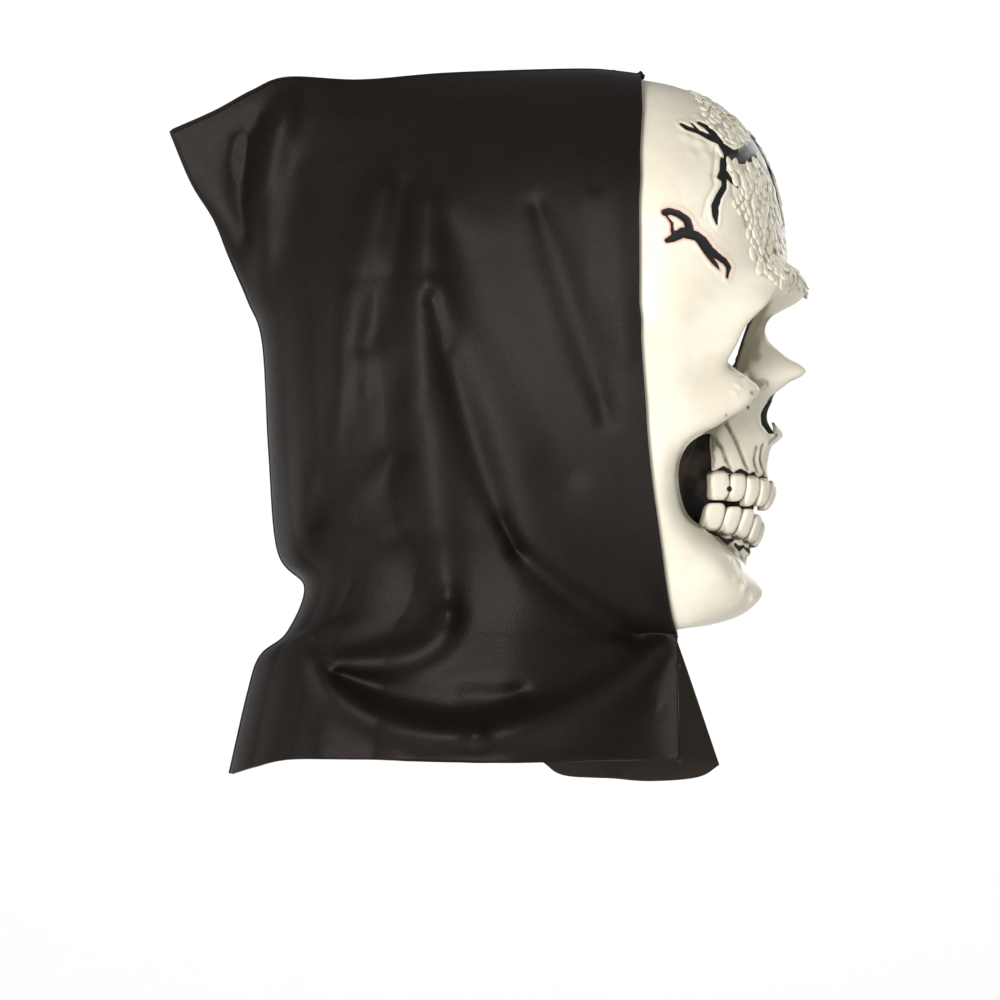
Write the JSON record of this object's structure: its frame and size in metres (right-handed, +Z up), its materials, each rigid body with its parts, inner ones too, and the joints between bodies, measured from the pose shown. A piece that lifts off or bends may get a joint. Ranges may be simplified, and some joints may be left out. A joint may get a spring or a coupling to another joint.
{
  "type": "skull mask",
  "caption": "Rigid skull face mask with open eyes, net behind its nose and mouth openings, and a two-panel black cloth hood sewn to its rim.",
  "frame": {"origin": "where the inside of the hood's crown rests on the wearer's head", "axes": "+Z up along the face, -Y the way the face looks, +X to the wearer's left; the middle plane is X = 0"},
  "size_m": [0.1954, 0.2857, 0.3226],
  "materials": {
    "ivory_plastic": "moulded vinyl, semi-matt",
    "black_net": "fine woven net, matt",
    "black_satin": "thin satin, soft sheen"
  },
  "bodies": {
    "root": {"face_mask": "ivory_plastic", "net_backing": "black_net", "hood_right_panel": "black_satin", "hood_left_panel": "black_satin"}
  },
  "joints": []
}
